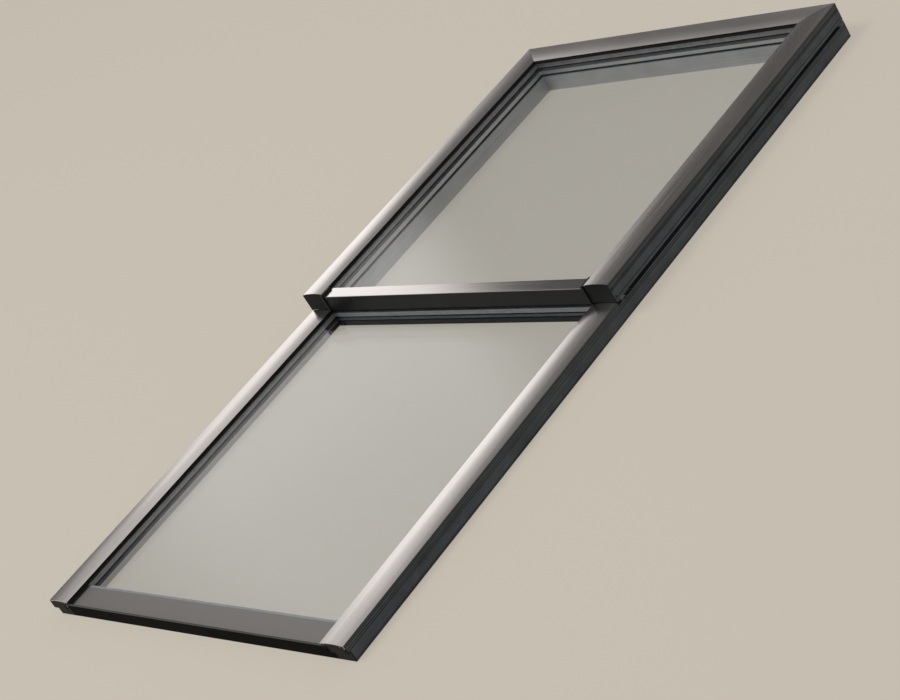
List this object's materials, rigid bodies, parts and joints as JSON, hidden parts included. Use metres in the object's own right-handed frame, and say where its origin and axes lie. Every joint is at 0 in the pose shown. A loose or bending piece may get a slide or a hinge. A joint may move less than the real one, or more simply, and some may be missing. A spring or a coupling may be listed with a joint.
{
  "type": "roof skylight",
  "caption": "Flat glazed roof skylight with a fixed lower pane and an upper sash that slides down over it on rollers, driven by racks and a cross shaft.",
  "frame": {"origin": "middle of the footprint, on the underside of the base frame", "axes": "+Z out of the roof, +Y up the slope to the head, +X across to the right"},
  "size_m": [1.4, 2.8, 0.135],
  "materials": {
    "brushed_cover": "brushed, clear anodised",
    "slate_frame": "dark slate anodised, satin",
    "black_metal": "black, satin",
    "mill_aluminium": "plain extruded",
    "outer_glass": "clear, lightly coated",
    "inner_glass": "clear",
    "spacer": "dark grey",
    "black_rubber": "matt",
    "black_plastic": "matt",
    "grey_plastic": "moulded",
    "steel": "bright"
  },
  "bodies": {
    "base_frame": {"base_left_rail": "slate_frame", "base_right_rail": "slate_frame", "base_head_rail": "slate_frame", "base_sill_rail": "black_metal", "base_transom": "black_metal", "transom_brackets": "black_metal", "rail_end_caps": "black_plastic", "lower_outer_pane": "outer_glass", "lower_inner_pane": "inner_glass", "lower_spacer_bar": "spacer", "lower_bedding_strips": "black_rubber", "setting_blocks": "black_plastic", "lower_gaskets": "black_rubber", "pressure_plate_left": "mill_aluminium", "pressure_plate_right": "mill_aluminium", "pressure_plate_screws": "steel", "lower_cover_left": "brushed_cover", "lower_cover_right": "brushed_cover", "running_track_left": "mill_aluminium", "running_track_right": "mill_aluminium", "reveal_liner_left": "slate_frame", "reveal_liner_right": "slate_frame", "reveal_liner_head": "slate_frame", "brush_seals": "black_rubber", "head_weather_bar": "slate_frame", "gear_motor": "black_plastic", "shaft_bearings": "black_plastic"},
    "upper_sash": {"sash_left_rail": "slate_frame", "sash_right_rail": "slate_frame", "sash_head_rail": "slate_frame", "meeting_rail": "black_metal", "meeting_rail_cap": "brushed_cover", "wiper_seal": "black_rubber", "sash_outer_pane": "outer_glass", "sash_inner_pane": "inner_glass", "sash_spacer_bar": "spacer", "sash_bedding_strips": "black_rubber", "sash_gaskets": "black_rubber", "sash_pressure_plates": "mill_aluminium", "sash_screws": "steel", "sash_cover_left": "brushed_cover", "sash_cover_right": "brushed_cover", "sash_cover_head": "brushed_cover", "end_cap_left": "black_plastic", "end_cap_right": "black_plastic", "end_plate_left": "black_metal", "end_plate_right": "black_metal", "roller_carriages": "steel", "roller_axles": "steel", "rack_left": "steel", "rack_right": "steel"},
    "drive_shaft": {"cross_shaft": "steel", "pinion_left": "steel", "pinion_right": "steel"},
    "front_left_roller": {"front_left_roller": "grey_plastic"},
    "front_right_roller": {"front_right_roller": "grey_plastic"},
    "rear_left_roller": {"rear_left_roller": "grey_plastic"},
    "rear_right_roller": {"rear_right_roller": "grey_plastic"}
  },
  "joints": [
    {"name": "sash_slide", "type": "slide", "parent": "base_frame", "child": "upper_sash", "axis": [0, -1, 0], "range_m": [0, 1.25]},
    {"name": "drive_shaft_spin", "type": "hinge", "parent": "base_frame", "child": "drive_shaft", "pos_m": [0, 0.014, 0.0424], "axis": [1, 0, 0], "range_deg": [0, 2260]},
    {"name": "front_left_roller_spin", "type": "hinge", "parent": "upper_sash", "child": "front_left_roller", "pos_m": [-0.653, 0.09, 0.0888], "axis": [1, 0, 0], "range_deg": [0, 3600]},
    {"name": "front_right_roller_spin", "type": "hinge", "parent": "upper_sash", "child": "front_right_roller", "pos_m": [0.653, 0.09, 0.0888], "axis": [1, 0, 0], "range_deg": [0, 3600]},
    {"name": "rear_left_roller_spin", "type": "hinge", "parent": "upper_sash", "child": "rear_left_roller", "pos_m": [-0.653, 1.27, 0.0888], "axis": [1, 0, 0], "range_deg": [0, 3600]},
    {"name": "rear_right_roller_spin", "type": "hinge", "parent": "upper_sash", "child": "rear_right_roller", "pos_m": [0.653, 1.27, 0.0888], "axis": [1, 0, 0], "range_deg": [0, 3600]}
  ],
  "couplings": [
    {"joint": "drive_shaft_spin", "follows": "sash_slide", "rad_per_m": 31.25},
    {"joint": "front_left_roller_spin", "follows": "sash_slide", "rad_per_m": 50},
    {"joint": "front_right_roller_spin", "follows": "sash_slide", "rad_per_m": 50},
    {"joint": "rear_left_roller_spin", "follows": "sash_slide", "rad_per_m": 50},
    {"joint": "rear_right_roller_spin", "follows": "sash_slide", "rad_per_m": 50}
  ]
}
